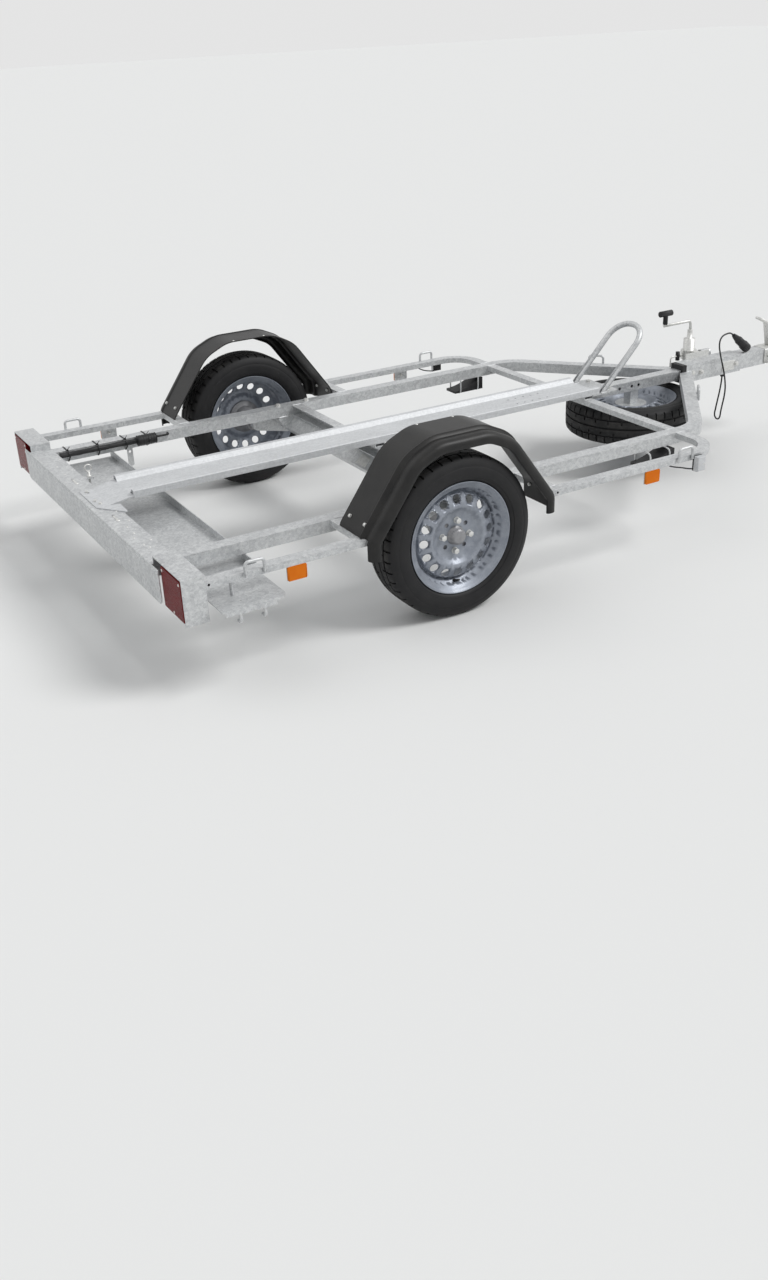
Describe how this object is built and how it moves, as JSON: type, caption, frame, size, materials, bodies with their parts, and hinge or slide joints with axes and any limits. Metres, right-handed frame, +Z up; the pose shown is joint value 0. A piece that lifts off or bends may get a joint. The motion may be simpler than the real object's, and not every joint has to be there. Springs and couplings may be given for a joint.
{
  "type": "motorcycle trailer",
  "caption": "Galvanised tube trailer for one motorcycle, with centre channel, wheel chock, stowed ramp, spare wheel and jockey wheel.",
  "frame": {"origin": "on the ground under the middle of the overall box", "axes": "+X forward along the drawbar to the coupling, +Y to the trailer's left, +Z up"},
  "size_m": [3.2204, 1.76, 0.606],
  "materials": {
    "galvanised": "hot-dip galvanised, spangled",
    "bright_zinc": "bright zinc",
    "silver_paint": "satin silver paint",
    "hub_steel": "satin grey",
    "tyre": "matt black rubber",
    "solid_rubber": "matt black rubber",
    "guard_plastic": "matt charcoal",
    "black_plastic": "matt black",
    "red_lens": "moulded lens",
    "amber_lens": "moulded reflector",
    "clear_lens": "moulded lens",
    "cable_black": "matt black sheath"
  },
  "bodies": {
    "frame": {"main_rails": "galvanised", "front_hoop": "galvanised", "rear_side_rails": "galvanised", "mid_cross": "galvanised", "rear_beam": "galvanised", "lamp_bodies": "black_plastic", "tail_lamp_lenses": "red_lens", "marker_lenses": "clear_lens", "side_reflectors": "amber_lens", "axle_beam": "galvanised", "axle_brackets": "galvanised", "torsion_arms": "galvanised", "mudguard_left": "guard_plastic", "mudguard_right": "guard_plastic", "centre_channel": "bright_zinc", "channel_seats": "galvanised", "wheel_chock": "galvanised", "adjusting_tube": "galvanised", "drawbar": "galvanised", "drawbar_plug": "black_plastic", "drawbar_nose": "galvanised", "coupling_head": "bright_zinc", "coupling_lever": "black_plastic", "jockey_clamp": "bright_zinc", "clamp_screw": "bright_zinc", "clamp_knobs": "black_plastic", "plug_holder": "galvanised", "jockey_outer_tube": "bright_zinc", "jockey_crank": "bright_zinc", "jockey_grip": "black_plastic", "tie_down_hoops": "galvanised", "loading_ramp": "galvanised", "ramp_hangers": "galvanised", "ramp_pin": "bright_zinc", "spare_tyre": "tyre", "spare_rim": "silver_paint", "spare_carrier": "galvanised", "wiring": "cable_black", "cable_gland": "cable_black", "supply_cable": "cable_black", "cable_connector": "cable_black"},
    "wheel_left": {"tyre_left": "tyre", "rim_left": "silver_paint", "hub_left": "hub_steel"},
    "wheel_right": {"tyre_right": "tyre", "rim_right": "silver_paint", "hub_right": "hub_steel"},
    "jockey_stem": {"jockey_inner_tube": "bright_zinc"},
    "jockey_caster": {"jockey_fork": "bright_zinc"},
    "jockey_wheel": {"jockey_tyre": "solid_rubber", "jockey_rim": "silver_paint"}
  },
  "joints": [
    {"name": "left_wheel_turn", "type": "hinge", "parent": "frame", "child": "wheel_left", "pos_m": [-0.67775, 0.785, 0.264], "axis": [0, 1, 0], "continuous": true},
    {"name": "right_wheel_turn", "type": "hinge", "parent": "frame", "child": "wheel_right", "pos_m": [-0.67775, -0.735, 0.264], "axis": [0, 1, 0], "continuous": true},
    {"name": "jockey_lift", "type": "slide", "parent": "frame", "child": "jockey_stem", "axis": [0, 0, 1], "range_m": [-0.1, 0.045]},
    {"name": "jockey_swivel", "type": "hinge", "parent": "jockey_stem", "child": "jockey_caster", "pos_m": [1.10125, 0.115, 0.199], "axis": [0, 0, 1], "continuous": true},
    {"name": "jockey_wheel_turn", "type": "hinge", "parent": "jockey_caster", "child": "jockey_wheel", "pos_m": [1.06125, 0.115, 0.08], "axis": [0, 1, 0], "continuous": true}
  ]
}
